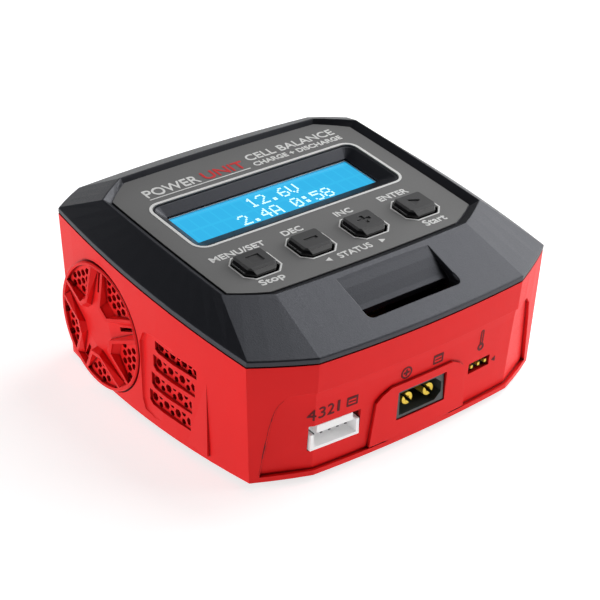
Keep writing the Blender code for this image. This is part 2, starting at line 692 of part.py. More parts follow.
for number, side in ((0, "left"), (3, "right")):
    x, v = BOARD_POSTS[number]
    place = (x, v, BOARD_W - GAP / 3 - 0.6)
    screw(f"board_screw_{side}", 2.0, 1.2, 0.75, 6.0, place, STEEL, parent=panel, cross=False)
for number, (x, y) in enumerate(POSTS):
    place = ("front_left", "front_right", "rear_left", "rear_right")[number]
    screw(f"case_screw_{place}", 2.8, 0.9, 0.95, 10.0, (x, y, FOOT_H + 0.65), STEEL)


# Keys with their switches: each key and its plunger slide along the panel's normal

KEY_NAMES = ("stop", "decrease", "increase", "enter")


def oblong(size_x, size_y):
    x, y = size_x / 2, size_y / 2
    return [(-x, -y), (x, -y), (x, y), (-x, y)]


KEY_MARKS = {
    "stop": [oblong(4.0, 3.2)],
    "decrease": [oblong(4.2, 1.1)],
    "increase": [oblong(4.2, 1.1), oblong(1.1, 3.6)],
    "enter": [[(-1.5, -1.7), (1.7, 0.0), (-1.5, 1.7)]],
}
for name, x in zip(KEY_NAMES, KEY_X):
    axis = empty(f"axis_{name}", (x, KEY_V, 0), parent=panel)
    rings = []
    for w, size, cut in ((2.7, KEY_SIZE, KEY_CHAMFER), (KEY_EDGE_W, KEY_SIZE, KEY_CHAMFER),
                         (KEY_TOP_W, KEY_TOP, KEY_TOP_CHAMFER)):
        rings.append([(px, py, w) for px, py in chamfered(*size, cut)])
    key = add_object(f"key_{name}", loft_mesh(rings), KEY, parent=axis)
    flange = prism(f"flange_{name}", chamfered(12.8, 12.4, 2.0), 2.7, 3.5, cutter=True, parent=axis)
    boolean(key, flange, "UNION")
    for part, outline in enumerate(KEY_MARKS[name]):
        mark = prism(f"{name}_mark_{part}", outline, KEY_TOP_W - 0.35, KEY_TOP_W + 1, cutter=True, parent=axis)
        boolean(key, mark)
    switch = box(f"switch_{name}", (6.0, 6.0, 3.0), (x, KEY_V, BOARD_TOP_W + 0.1 + 1.5), CHIP, parent=panel)
    bore = cylinder(f"switch_bore_{name}", 1.8, 4.0, (x, KEY_V, 2.2), cutter=True, segments=16, parent=panel)
    boolean(switch, bore)
    cylinder(f"plunger_{name}", 1.5, 1.55, (0, 0, 1.825), mat=RUBBER, segments=16, parent=axis)


# Fan: frame, and rotor on the joint axis

fan = empty("fan_axis", (FAN_FACE_X + FAN_DEPTH / 2, FAN_Y, FAN_Z))
frame = box("fan_frame", (FAN_DEPTH, FAN_SIZE, FAN_SIZE), (0, 0, 0), BLACK, parent=fan)
bevel(frame, 0.8)
boolean(frame, cylinder("fan_bore", 16.4, FAN_DEPTH + 2, (-3.0, 0, 0), "X", cutter=True, segments=40, parent=fan))
boolean(frame, cylinder("fan_strut_hub", 6.6, 1.6, (FAN_DEPTH / 2 - 0.8, 0, 0), "X", cutter=True, segments=24,
                        parent=fan), "UNION")
for k in range(3):
    strut = box(f"fan_strut_{k}", (1.4, 12.0, 1.6), (FAN_DEPTH / 2 - 0.8, 0, 0), cutter=True, parent=fan)
    turn = math.radians(30 + 120 * k)
    strut.location = Vector((FAN_DEPTH / 2 - 0.8, 11.6 * math.cos(turn), 11.6 * math.sin(turn))) * MM
    strut.rotation_euler = (turn, 0, 0)
    boolean(frame, strut, "UNION")
bearing = cylinder("fan_bearing", 0.9, 4.0, (FAN_DEPTH / 2, 0, 0), "X", cutter=True, segments=12, parent=fan)
boolean(frame, bearing)
rotor = cylinder("fan_rotor", 6.6, 7.2, (-0.9, 0, 0), "X", mat=CHIP, segments=24, parent=fan)
BLADES = 7
for k in range(BLADES):
    blade = bmesh.new()
    bmesh.ops.create_cube(blade, size=1.0)
    bmesh.ops.scale(blade, vec=(0.7, 9.6, 7.0), verts=blade.verts)
    bmesh.ops.rotate(blade, matrix=Matrix.Rotation(math.radians(48), 3, "Y"), verts=blade.verts)
    bmesh.ops.translate(blade, vec=(0, 10.8, 0), verts=blade.verts)
    bmesh.ops.rotate(blade, matrix=Matrix.Rotation(2 * math.pi * k / BLADES, 3, "X"), verts=blade.verts)
    boolean(rotor, add_object(f"blade_{k}", blade, cutter=True, parent=fan, location=(-0.9, 0, 0)), "UNION")
boolean(rotor, cylinder("fan_shaft", 0.6, 5.0, (3.0, 0, 0), "X", cutter=True, segments=12, parent=fan), "UNION")


# Main board, its notches clear of the fan and the screw posts

main_board = prism("main_board", [(-37.2, -40.0), (36.4, -40.0), (36.4, -30.0), (43.5, -30.0), (43.5, 36.6), (35.8, 36.6),
                                  (35.8, 43.0), (-35.8, 43.0), (-35.8, 36.6), (-37.2, 36.6)],
                   PCB_Z, PCB_Z + PCB_T, BOARD)
BOARD_TOP = PCB_Z + PCB_T + 0.15


# Balance socket: a keyed white header of five pins

socket = box("balance_socket", (14.9, 10.0, 6.9), (0, 5.0, 0), NYLON, parent=balance)
boolean(socket, box("socket_hollow", (12.9, 7.4, 3.9), (0, 3.0, -0.65), cutter=True, parent=balance))
for number, side in enumerate((-1, 1)):
    notch = box(f"socket_key_{number}", (2.1, 7.4, 2.45), (side * 6.5, 3.0, 2.375), cutter=True, parent=balance)
    boolean(socket, notch)
for number in range(5):
    x = -5.0 + 2.5 * number
    boolean(socket, box(f"pin_slot_{number}", (0.9, 6.0, 0.9), (x, 8.0, -0.65), cutter=True, parent=balance))
    box(f"balance_pin_{number + 1}", (0.64, 7.6, 0.64), (x, 6.0, -0.65), TIN, parent=balance)


# Output socket: dark two-pole socket with split gold pins

output_socket = box("output_connector", (16.0, 17.0, 8.1), (0, 8.5, 0), SOCKET, parent=output)
socket_line = [(-7.2, -3.3), (5.0, -3.3), (7.2, -1.4), (7.2, 1.4), (5.0, 3.3), (-7.2, 3.3)]
boolean(output_socket, prism("output_hollow", socket_line, -9.5, 1.0, cutter=True, parent=output,
                             rotation=(math.pi / 2, 0, 0)))
for name, x in (("positive", -3.6), ("negative", 3.6)):
    boolean(output_socket, cylinder(f"output_bore_{name}", 2.0, 12.0, (x, 13.0, 0), "Y", cutter=True, segments=16,
                                    parent=output))
    pin = cylinder(f"output_pin_{name}", 1.75, 15.0, (x, 8.6, 0), "Y", mat=GOLD, segments=20, parent=output)
    boolean(pin, cylinder(f"pin_bore_{name}", 0.7, 7.0, (x, 2.0, 0), "Y", cutter=True, segments=12, parent=output))
    boolean(pin, box(f"pin_split_{name}", (0.85, 7.0, 5.0), (x, 3.0, 0), cutter=True, parent=output,
                     rotation=(0, math.radians(-40), 0)))


# Sensor header: three gold pins

sensor_header = box("sensor_header", (7.4, 5.8, 2.6), (0, 4.3, 0), CHIP, parent=sensor)
for number, x in enumerate((-2.54, 0.0, 2.54)):
    boolean(sensor_header, box(f"sensor_slot_{number}", (1.3, 8.0, 1.3), (x, 4.3, 0), cutter=True, parent=sensor))
    box(f"sensor_pin_{number + 1}", (0.8, 8.4, 0.8), (x, 4.1, 0.1), GOLD, parent=sensor)
sensor_lift = PCB_Z + PCB_T + 0.15
post_h = SENSOR[1] - 1.4 + 0.4 - sensor_lift
sensor_stand = box("sensor_stand", (7.6, 2.4, post_h), (0, 6.0, -1.0 - post_h / 2), cutter=True, parent=sensor)
boolean(sensor_header, sensor_stand, "UNION")


# Mains inlet: a two-pin socket with its outline rounded into two lobes

inlet = prism("mains_inlet", rounded(24.0, 14.0, 1.0, 2), -0.6, 19.0, SOCKET, parent=inlet_frame,
              rotation=(math.pi / 2, 0, 0))
lobes = []
for side in (1, -1):
    for step in range(9):
        angle = math.radians(-70 + 140 * step / 8) + (0 if side > 0 else math.pi)
        lobes.append((side * 4.4 + 3.9 * math.cos(angle), 3.9 * math.sin(angle)))
inlet_hollow = prism("inlet_hollow", lobes, -4.0, 13.0, cutter=True, parent=inlet_frame,
                     rotation=(math.pi / 2, 0, 0))
boolean(inlet, inlet_hollow)
for number, x in enumerate((-4.3, 4.3)):
    boolean(inlet, cylinder(f"inlet_bore_{number}", 1.4, 12.0, (x, -16.0, 0), "Y", cutter=True, segments=12,
                            parent=inlet_frame))
    cylinder(f"mains_pin_{('live', 'neutral')[number]}", 1.15, 16.5, (x, -12.4, 0), "Y", mat=TIN, segments=12,
             parent=inlet_frame)


# Power parts on the main board


def on_board(height):
    """The centre height of something that stands on the main board."""
    return BOARD_TOP + height / 2


TRANSFORMER = (11.4, -2.0, on_board(21.0))
core = box("transformer_core", (25.0, 12.0, 21.0), TRANSFORMER, FERRITE)
for number, side in enumerate((-1, 1)):
    place = (TRANSFORMER[0] + side * 6.6, TRANSFORMER[1], TRANSFORMER[2])
    boolean(core, box(f"core_window_{number}", (5.6, 16.0, 13.6), place, cutter=True))
winding = box("transformer_winding", (17.0, 17.0, 11.8), TRANSFORMER, COPPER)
for number, side in enumerate((-1, 1)):
    place = (TRANSFORMER[0], TRANSFORMER[1] + side * 8.4, TRANSFORMER[2])
    boolean(winding, box(f"bobbin_{number}", (18.2, 1.4, 13.0), place, cutter=True), "UNION")
boolean(winding, box("winding_bore", (8.4, 12.8, 14.4), TRANSFORMER, cutter=True))
cylinder("mains_capacitor", 8.0, 20.0, (-8.0, 31.0, BOARD_TOP + 8.1), "X", mat=CAN, segments=28)
cylinder("output_capacitor", 5.0, 18.0, (-20.0, -12.0, on_board(18.0)), mat=CAN, segments=24)
choke = cylinder("mains_choke", 8.0, 7.0, (36.0, 22.0, BOARD_TOP + 8.0), "X", mat=COPPER, segments=24)
boolean(choke, cylinder("choke_bore", 3.6, 9.0, (36.0, 22.0, BOARD_TOP + 8.0), "X", cutter=True, segments=20))
inductor = cylinder("output_inductor", 7.5, 6.5, (-22.0, 6.0, BOARD_TOP + 7.5), "Y", mat=COPPER, segments=24)
inductor_bore = cylinder("inductor_bore", 3.4, 9.0, (-22.0, 6.0, BOARD_TOP + 7.5), "Y", cutter=True, segments=20)
boolean(inductor, inductor_bore)
cylinder("fuse", 2.6, 15.0, (22.0, 20.5, BOARD_TOP + 2.6), "X", mat=GLASS, segments=16)
heatsink = box("heatsink", (3.0, 34.0, 22.0), (32.0, -8.0, on_board(22.0)), ALUMINIUM)
for number in range(4):
    place = (35.0, -22.0 + 9.2 * number, on_board(22.0))
    fin = box(f"heatsink_fin_{number}", (7.0, 1.6, 22.0), place, cutter=True)
    boolean(heatsink, fin, "UNION")
box("power_transistor", (4.4, 10.0, 15.0), (27.9, -12.0, on_board(15.0)), CHIP)
buzzer = cylinder("buzzer", 5.5, 8.0, (-8.0, -18.0, on_board(8.0)), mat=CHIP, segments=24)
boolean(buzzer, cylinder("buzzer_port", 1.2, 4.0, (-8.0, -18.0, on_board(8.0) + 4.0), cutter=True, segments=12))
ribbon_y = 26.5
ribbon_top = seam_z(ribbon_y) + BOARD_W - 0.35
box("ribbon_cable", (18.0, 0.9, ribbon_top - BOARD_TOP), (12.0, ribbon_y, (ribbon_top + BOARD_TOP) / 2), NYLON)
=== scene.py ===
"""Looks of the balance charger: materials for every CAD node, printed marks, floor, light and camera."""

import math

import bmesh
import bpy
from mathutils import Matrix, Vector
from mathutils.bvhtree import BVHTree


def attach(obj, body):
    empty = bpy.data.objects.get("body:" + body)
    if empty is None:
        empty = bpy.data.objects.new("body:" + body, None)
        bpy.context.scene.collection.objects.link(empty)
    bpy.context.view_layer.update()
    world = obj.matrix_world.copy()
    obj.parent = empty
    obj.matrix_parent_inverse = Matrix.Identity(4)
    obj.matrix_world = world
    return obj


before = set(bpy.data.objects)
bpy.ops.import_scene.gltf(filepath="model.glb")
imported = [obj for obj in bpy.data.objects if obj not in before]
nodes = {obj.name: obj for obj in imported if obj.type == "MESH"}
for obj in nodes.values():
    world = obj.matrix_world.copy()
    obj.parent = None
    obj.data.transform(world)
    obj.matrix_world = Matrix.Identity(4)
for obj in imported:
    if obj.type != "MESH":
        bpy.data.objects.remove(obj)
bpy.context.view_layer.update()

MM = 0.001

# Places on the cover are in mm in the tilted panel's frame: x to the right, v up the panel, w out of it.
SEAM_Z = 40.2  # height of the panel frame's origin, where case and cover meet
TILT = math.radians(6.0)
PANEL = Matrix.Translation((0, 0, SEAM_Z * MM)) @ Matrix.Rotation(TILT, 4, "X")
OVERLAY_W = 6.5  # top of the label film
KEY_MATT_W = 8.1  # keys are matt from here up, and glossy on the slopes below
PRINT_LIFT = 0.02
PRINT_DEPTH = 0.05


# Node building


class Builder:
    """A material with a Principled shader and helpers that add and link nodes."""

    def __init__(self, name, colour, roughness, metallic=0.0, specular=0.5):
        self.material = bpy.data.materials.new(name)
        self.material.use_nodes = True
        self.tree = self.material.node_tree
        self.shader = self.tree.nodes["Principled BSDF"]
        self.shader.inputs["Base Color"].default_value = (*colour, 1.0)
        self.shader.inputs["Roughness"].default_value = roughness
        self.shader.inputs["Metallic"].default_value = metallic
        self.shader.inputs["Specular IOR Level"].default_value = specular
        self.place = self.node("ShaderNodeTexCoord").outputs["Object"]

    def glow(self, colour, strength):
        self.shader.inputs["Emission Color"].default_value = (*colour, 1.0)
        self.shader.inputs["Emission Strength"].default_value = strength

    def node(self, kind, **settings):
        made = self.tree.nodes.new(kind)
        for key, value in settings.items():
            setattr(made, key, value)
        return made

    def link(self, source, target):
        self.tree.links.new(source, target)

    def noise(self, per_mm, detail=3.0, place=None):
        made = self.node("ShaderNodeTexNoise")
        made.inputs["Scale"].default_value = per_mm / MM
        made.inputs["Detail"].default_value = detail
        self.link(place or self.place, made.inputs["Vector"])
        return made.outputs["Fac"]

    def spread(self, value, low, high, out_low, out_high):
        made = self.node("ShaderNodeMapRange")
        for key, number in (("From Min", low), ("From Max", high), ("To Min", out_low), ("To Max", out_high)):
            made.inputs[key].default_value = number
        self.link(value, made.inputs["Value"])
        return made.outputs["Result"]

    def math(self, operation, first, second=None, third=None):
        made = self.node("ShaderNodeMath", operation=operation)
        for slot, value in enumerate((first, second, third)):
            if value is None:
                continue
            if isinstance(value, (int, float)):
                made.inputs[slot].default_value = value
            else:
                self.link(value, made.inputs[slot])
        return made.outputs["Value"]

    def blend(self, factor, first, second):
        made = self.node("ShaderNodeMix", data_type="RGBA")
        for slot, value in ((6, first), (7, second)):
            if isinstance(value, tuple):
                made.inputs[slot].default_value = (*value, 1.0)
            else:
                self.link(value, made.inputs[slot])
        self.link(factor, made.inputs[0])
        return made.outputs[2]

    def colour(self, value, socket="Base Color"):
        self.link(value, self.shader.inputs[socket])

    def rough(self, value):
        self.link(value, self.shader.inputs["Roughness"])

    def relief(self, height, strength, depth, edge=0.0):
        """Bump from a height, over edges rounded by the given radius in mm."""
        bump = self.node("ShaderNodeBump")
        bump.inputs["Strength"].default_value = strength
        bump.inputs["Distance"].default_value = depth * MM
        self.link(height, bump.inputs["Height"])
        if edge:
            rounding = self.node("ShaderNodeBevel", samples=6)
            rounding.inputs["Radius"].default_value = edge * MM
            self.link(rounding.outputs["Normal"], bump.inputs["Normal"])
        self.link(bump.outputs["Normal"], self.shader.inputs["Normal"])


def scaled(colour, factor):
    return tuple(min(1.0, channel * factor) for channel in colour)


# Painted shade, by ambient occlusion, in seams, inner corners and hollows: reach in mm, openness where it is
# fullest, openness where it ends, and the share of the body colour that is always left
PAINTED_SHADE_REACH = (
    (0.9, 0.42, 0.86, 0.35),  # seams and inner corners
    (4.0, 0.18, 0.62, 0.0),  # deep hollows
)


def moulded(name, colour, roughness, grain=3.5, depth=0.02, edge=0.25, vary=0.08, specular=0.5, coat=0.0,
            glow=0.0, painted_shade=None, tint=None):
    """Moulded plastic: fine spark-eroded grain, faint mottling, a slightly uneven sheen and, if given a
    colour for it, painted shade in its seams and hollows.
    """
    made = Builder(name, colour, roughness, specular=specular)
    fine = made.noise(grain, 4.0)
    broad = made.noise(0.06, 2.0)
    body = made.blend(broad, scaled(colour, 1 - vary), scaled(colour, 1 + vary))
    # painted shade: the body colour turns dark in seams and hollows, by ambient occlusion
    if painted_shade:
        for reach, fullest, ends, left in PAINTED_SHADE_REACH:
            hollow = made.node("ShaderNodeAmbientOcclusion", samples=12)
            hollow.inputs["Distance"].default_value = reach * MM
            body = made.blend(made.spread(hollow.outputs["AO"], fullest, ends, left, 1.0), painted_shade, body)
    made.colour(body)
    made.rough(made.spread(fine, 0.3, 0.7, roughness - 0.06, roughness + 0.06))
    made.relief(fine, 0.5, depth, edge)
    if coat:
        made.shader.inputs["Coat Weight"].default_value = coat
        made.shader.inputs["Coat Roughness"].default_value = 0.12
    # a painted glow, evenly over the part
    if glow:
        made.glow((1, 1, 1), glow)
    if tint:
        made.shader.inputs["Specular Tint"].default_value = (*tint, 1.0)
    return made.material


def metal(name, colour, roughness, grain=1.2, edge=0.1, metallic=1.0, brushed=None):
    """Plated or rolled metal with fine scratches, drawn out along one axis if brushed."""
    made = Builder(name, colour, roughness, metallic=metallic)
    place = made.place
    if brushed:
        mapping = made.node("ShaderNodeMapping")
        mapping.inputs["Scale"].default_value = brushed
        made.link(place, mapping.inputs["Vector"])
        place = mapping.outputs["Vector"]
    marks = made.noise(grain, 5.0, place)
    made.colour(made.blend(made.noise(0.3, 2.0), scaled(colour, 0.82), scaled(colour, 1.08)))
    made.rough(made.spread(marks, 0.3, 0.7, roughness - 0.08, roughness + 0.12))
    made.relief(marks, 0.35, 0.02, edge)
    return made.material


def circuit_board():
    """Green solder mask over raised copper runs."""
    made = Builder("board_green", (0.015, 0.12, 0.045), 0.35)
    cells = made.node("ShaderNodeTexVoronoi", feature="DISTANCE_TO_EDGE", distance="MANHATTAN")
    cells.inputs["Scale"].default_value = 0.35 / MM
    made.link(made.place, cells.inputs["Vector"])
    runs = made.spread(cells.outputs["Distance"], 0.03, 0.06, 1.0, 0.0)
    made.colour(made.blend(runs, (0.012, 0.10, 0.04), (0.03, 0.22, 0.07)))
    made.relief(runs, 0.5, 0.04, 0.1)
    return made.material


def taped_winding():
    """Polyester tape wound over a coil, with overlapping turns."""
    made = Builder("winding_tape", (0.62, 0.42, 0.05), 0.4)
    turns = made.node("ShaderNodeTexWave", bands_direction="Z")
    turns.inputs["Scale"].default_value = 0.25 / MM
    turns.inputs["Distortion"].default_value = 0.4
    made.link(made.place, turns.inputs["Vector"])
    made.colour(made.blend(turns.outputs["Fac"], (0.5, 0.32, 0.03), (0.7, 0.5, 0.07)))
    made.relief(turns.outputs["Fac"], 0.4, 0.05, 0.15)
    return made.material


def wound_copper():
    """Enamelled copper wire, one turn beside the other."""
    made = Builder("wound_copper", (0.75, 0.3, 0.12), 0.3, metallic=1.0)
    turns = made.node("ShaderNodeTexWave", bands_direction="Y")
    turns.inputs["Scale"].default_value = 0.45 / MM
    made.link(made.place, turns.inputs["Vector"])
    made.colour(made.blend(turns.outputs["Fac"], (0.45, 0.14, 0.05), (0.85, 0.36, 0.15)))
    made.relief(turns.outputs["Fac"], 0.8, 0.12)
    return made.material


def ribbon():
    """Flat cable: ribs along the leads."""
    made = Builder("ribbon_grey", (0.35, 0.35, 0.36), 0.5)
    leads = made.node("ShaderNodeTexWave", bands_direction="X", wave_profile="SIN")
    leads.inputs["Scale"].default_value = 0.3 / MM
    made.link(made.place, leads.inputs["Vector"])
    made.colour(made.blend(leads.outputs["Fac"], (0.2, 0.2, 0.21), (0.42, 0.42, 0.43)))
    made.relief(leads.outputs["Fac"], 0.8, 0.15)
    return made.material


def panel_place(builder):
    """Coordinates in mm in the tilted panel frame."""
    mapping = builder.node("ShaderNodeMapping", vector_type="TEXTURE")
    mapping.inputs["Location"].default_value = (0, 0, SEAM_Z * MM)
    mapping.inputs["Rotation"].default_value = (TILT, 0, 0)
    mapping.inputs["Scale"].default_value = (MM, MM, MM)
    builder.link(builder.place, mapping.inputs["Vector"])
    split = builder.node("ShaderNodeSeparateXYZ")
    builder.link(mapping.outputs["Vector"], split.inputs["Vector"])
    return split.outputs


# The display: two rows of sixteen characters, each a cell of dots
LCD_V = 13.1  # middle of the display, and the line between its two rows
LCD_COLUMNS = 16
CELL = (3.55, 6.2)
DOT = (0.6, 0.66)
DOTS_IN_CELL = (5, 8)
CELL_LOW = (-LCD_COLUMNS * CELL[0] / 2, LCD_V - CELL[1])
UNLIT_SHARE = 0.82  # of a dot's pitch
LIT_SHARE = 0.84


def display_material():
    """The lit blue display: a bright field, with every cell's unlit dots very slightly darker."""
    made = Builder("display_blue", (0.004, 0.05, 0.12), 0.12)
    x, v, _ = panel_place(made)
    grid = None
    for axis, start, pitch, dot, count in zip((x, v), CELL_LOW, CELL, DOT, DOTS_IN_CELL):
        along = made.math("SUBTRACT", axis, start)
        cell = made.math("MODULO", made.math("ADD", along, 10 * pitch), pitch)
        inside = made.math("LESS_THAN", cell, dot * count)
        fine = made.math("LESS_THAN", made.math("MODULO", cell, dot), dot * UNLIT_SHARE)
        part = made.math("MULTIPLY", inside, made.spread(fine, 0, 1, 0.55, 1.0))
        grid = part if grid is None else made.math("MULTIPLY", grid, part)
    cloud = made.spread(made.noise(0.03, 1.0), 0.35, 0.65, 0.0, 1.0)
    glow = made.blend(grid, (0.040, 0.50, 0.83), (0.036, 0.46, 0.80))
    made.colour(glow, "Emission Color")
    made.shader.inputs["Emission Strength"].default_value = 0.95
    made.rough(made.spread(cloud, 0, 1, 0.10, 0.16))
    return made.material


def printed(name, colour, glow=0.0):
    """Screen-printed ink: nearly even, with a slightly broken surface."""
    made = Builder(name, colour, 0.55)
    fine = made.noise(1.6, 3.0)
    made.colour(made.blend(fine, scaled(colour, 0.93), scaled(colour, 1.05)))
    made.relief(fine, 0.25, 0.02)
    if glow:
        made.glow(colour, glow)
    return made.material


def key_material():
    """Keys: matt on top, glossy on the bevels and sides."""
    made = Builder("key_black", (0.022, 0.022, 0.024), 0.2)
    _, _, w = panel_place(made)
    top = made.spread(w, KEY_MATT_W - 0.1, KEY_MATT_W + 0.1, 0.0, 1.0)
    fine = made.noise(3.5, 3.0)
    made.colour(made.blend(top, (0.006, 0.006, 0.007), (0.045, 0.045, 0.047)))
    made.rough(made.spread(top, 0, 1, 0.16, 0.55))
    made.relief(fine, 0.3, 0.015, 0.2)
    return made.material


# The case red carries painted shade: nearly black red in its seams and hollows
RED = moulded("case_red_plastic", (0.86, 0.0105, 0.011), 0.42, grain=3.0, depth=0.015, edge=0.18, vary=0.04,
              specular=0.15, painted_shade=(0.055, 0.001, 0.0015))
BLACK = moulded("cover_black_plastic", (0.0085, 0.009, 0.0122), 0.42, grain=2.6, depth=0.05, edge=0.35,
                vary=0.06, specular=0.54, tint=(0.86, 0.89, 1.0))
FILM = moulded("overlay_film", (0.178, 0.178, 0.178), 0.5, grain=4.0, depth=0.012, edge=0.1, vary=0.05)
KEY = key_material()
SCREEN = display_material()
GUIDE = moulded("light_guide", (0.75, 0.78, 0.8), 0.3, vary=0.03)
STEEL = metal("module_steel", (0.45, 0.46, 0.48), 0.32, brushed=(1, 8, 1))
SCREW = metal("screw_steel", (0.3, 0.3, 0.31), 0.3)
BOARD = circuit_board()
EPOXY = moulded("black_epoxy", (0.015, 0.015, 0.016), 0.4, vary=0.1)
# glow=0.12 is a faint painted glow that lightens the white nylon; the socket gives no light
NYLON_WHITE = moulded("white_nylon", (0.95, 0.95, 0.95), 0.38, grain=2.0, depth=0.01, edge=0.12, vary=0.02,
                      glow=0.12)
GOLD = metal("gold_plate", (0.80, 0.60, 0.07), 0.3, edge=0.12, metallic=0.7)
TIN = metal("tin_plate", (0.6, 0.61, 0.63), 0.25)
TIN_DULL = metal("tin_plate_dull", (0.13, 0.13, 0.135), 0.4)
NYLON_DARK = moulded("dark_nylon", (0.05, 0.062, 0.06), 0.4, grain=2.0, edge=0.15)
NYLON_BLACK = moulded("fan_nylon", (0.012, 0.012, 0.013), 0.45, edge=0.2)
FERRITE = moulded("ferrite", (0.05, 0.048, 0.05), 0.7, grain=1.2, depth=0.05)
TAPE = taped_winding()
SLEEVE = moulded("capacitor_sleeve", (0.02, 0.03, 0.09), 0.25, vary=0.05, coat=0.3)
COPPER = wound_copper()
GLASS = moulded("fuse_body", (0.55, 0.57, 0.55), 0.15, vary=0.1)
ALUMINIUM = metal("heatsink_aluminium", (0.72, 0.73, 0.75), 0.35, brushed=(1, 1, 8))
RUBBER = moulded("foot_rubber", (0.016, 0.016, 0.017), 0.75, grain=1.5, depth=0.05, edge=0.3)
RIBBON = ribbon()
INK = printed("white_print", (0.87, 0.87, 0.86))
INK_RED = printed("red_print", (0.72, 0.03, 0.035))
DOTS = printed("display_dots", (0.62, 0.88, 0.97), glow=0.75)
# painted shade: a dark red for the shade inside engraved marks and along the port field's step
PAINTED_SHADE_RED = moulded("red_painted_shade", (0.115, 0.006, 0.008), 0.5, edge=0, specular=0.2)

MATERIALS = {
    "lower_case": RED,
    "top_cover": BLACK,
    "label_overlay": FILM,
    "lcd_bezel": STEEL,
    "lcd_glass": SCREEN,
    "lcd_backlight": GUIDE,
    "display_board": BOARD,
    "main_board": BOARD,
    "balance_socket": NYLON_WHITE,
    "output_connector": NYLON_DARK,
    "sensor_header": NYLON_BLACK,
    "mains_inlet": NYLON_BLACK,
    "fan_frame": NYLON_BLACK,
    "fan_rotor": NYLON_BLACK,
    "transformer_core": FERRITE,
    "transformer_winding": TAPE,
    "mains_choke": COPPER,
    "output_inductor": COPPER,
    "mains_capacitor": SLEEVE,
    "output_capacitor": SLEEVE,
    "fuse": GLASS,
    "heatsink": ALUMINIUM,
    "power_transistor": EPOXY,
    "buzzer": EPOXY,
    "ribbon_cable": RIBBON,
}
PREFIXES = {
    "key_": KEY,
    "plunger_": NYLON_WHITE,
    "switch_": EPOXY,
    "balance_pin_": TIN_DULL,
    "output_pin_": GOLD,
    "sensor_pin_": GOLD,
    "mains_pin_": TIN,
    "board_screw_": SCREW,
    "case_screw_": SCREW,
    "foot_": RUBBER,
}


def dress_nodes():
    """Every CAD node takes the material of its name, or else that of its family's prefix."""
    for name, obj in nodes.items():
        chosen = MATERIALS.get(name)
        for prefix, mat in PREFIXES.items():
            if chosen is None and name.startswith(prefix):
                chosen = mat
        obj.data.materials.clear()
        obj.data.materials.append(chosen)


# Flat pieces: printed lines, letters and marks


def add_piece(name, bm, mat, matrix):
    """A mesh piece from a bmesh in mm, placed by a matrix in metres. It rides on the case."""
    bmesh.ops.recalc_face_normals(bm, faces=bm.faces)
    bmesh.ops.transform(bm, matrix=matrix @ Matrix.Diagonal((MM, MM, MM, 1)), verts=bm.verts)
    mesh = bpy.data.meshes.new(name)
    bm.to_mesh(mesh)
    bm.free()
    mesh.materials.append(mat)
    made = bpy.data.objects.new(name, mesh)
    bpy.context.scene.collection.objects.link(made)
    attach(made, "charger")


def slab(bm, outline, low, high, hole=None):
    """Extrudes an outline from low to high, as a ring if a hole of as many points is given."""
    rims = []
    for points in (outline, hole):
        if points is None:
            continue
        rims.append([[bm.verts.new((x, y, z)) for x, y in points] for z in (low, high)])
    count = len(outline)
    for bottom, top in rims:
        for i in range(count):
            j = (i + 1) % count
            bm.faces.new((bottom[i], bottom[j], top[j], top[i]))
    for level in (0, 1):
        if hole is None:
            bm.faces.new(rims[0][level])
            continue
        for i in range(count):
            j = (i + 1) % count
            bm.faces.new((rims[0][level][i], rims[0][level][j], rims[1][level][j], rims[1][level][i]))
    return bm


def bar(bm, x_low, x_high, y_low, y_high, high=PRINT_DEPTH):
    """A flat rectangle as thick as print."""
    return slab(bm, [(x_low, y_low), (x_high, y_low), (x_high, y_high), (x_low, y_high)], 0, high)


def rounded(size_x, size_y, radius, at=(0, 0), steps=6):
    """A rectangle's outline with arcs for corners, counter-clockwise."""
    points = []
    for quarter, (sx, sy) in enumerate(((1, 1), (-1, 1), (-1, -1), (1, -1))):
        cx = at[0] + sx * (size_x / 2 - radius)
        cy = at[1] + sy * (size_y / 2 - radius)
        for step in range(steps + 1):
            turn = math.pi / 2 * (quarter + step / steps)
            points.append((cx + radius * math.cos(turn), cy + radius * math.sin(turn)))
    return points


def chamfered(size_x, size_y, cut, at=(0, 0)):
    return rounded(size_x, size_y, cut, at, steps=1)


def printed_piece(name, bm, mat=INK, at=(0, 0)):
    """A piece of print on the label film."""
    level = Matrix.Translation((at[0] * MM, at[1] * MM, (OVERLAY_W + PRINT_LIFT) * MM))
    add_piece(name, bm, mat, PANEL @ level)


def line_frame(name, outer, inner):
    printed_piece(name, slab(bmesh.new(), outer, 0, PRINT_DEPTH, hole=inner))


def letters(words, width, height, weight=0.0):
    """A thin bmesh of the words, scaled to this size in mm, with its lower left corner at the origin."""
    curve = bpy.data.curves.new("letters", "FONT")
    curve.body = words
    curve.size = 1.0
    curve.offset = weight
    curve.extrude = 0.01  # scaled to the print's depth below
    curve.resolution_u = 4
    holder = bpy.data.objects.new("letters", curve)
    bpy.context.scene.collection.objects.link(holder)
    bpy.context.view_layer.update()
    mesh = bpy.data.meshes.new_from_object(holder.evaluated_get(bpy.context.evaluated_depsgraph_get()))
    bpy.data.objects.remove(holder)
    bm = bmesh.new()
    bm.from_mesh(mesh)
    bpy.data.meshes.remove(mesh)
    bmesh.ops.remove_doubles(bm, verts=bm.verts, dist=0.0005)
    low = Vector([min(v.co[i] for v in bm.verts) for i in range(3)])
    high = Vector([max(v.co[i] for v in bm.verts) for i in range(3)])
    size = high - low
    scale = Vector((width / size.x, height / size.y, PRINT_DEPTH / size.z))
    for vert in bm.verts:
        vert.co = Vector([(vert.co[i] - low[i]) * scale[i] for i in range(3)])
    return bm


